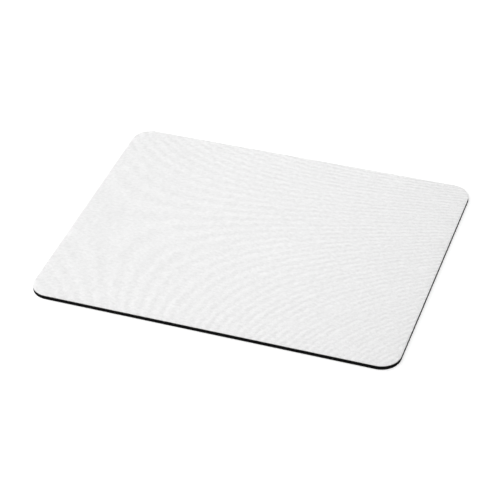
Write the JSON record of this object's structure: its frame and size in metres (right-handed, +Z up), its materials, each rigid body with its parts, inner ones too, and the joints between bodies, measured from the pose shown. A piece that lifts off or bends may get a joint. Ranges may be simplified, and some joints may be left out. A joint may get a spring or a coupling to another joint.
{
  "type": "mouse pad",
  "caption": "Thin rounded rectangular mouse pad: white cloth face laminated to a black foam rubber base with an anti-slip zigzag tread underneath.",
  "frame": {"origin": "centre of the footprint, on the surface that the pad lies on", "axes": "+X along the long side to the user's right, +Y along the short side away from the user, +Z up through the cloth"},
  "size_m": [0.23, 0.18, 0.003],
  "materials": {
    "foam_rubber": "matte",
    "hot_melt_film": "satin",
    "white_cloth": "matte"
  },
  "bodies": {
    "root": {"rubber_base": "foam_rubber", "adhesive_film": "hot_melt_film", "fabric_top": "white_cloth"}
  },
  "joints": []
}
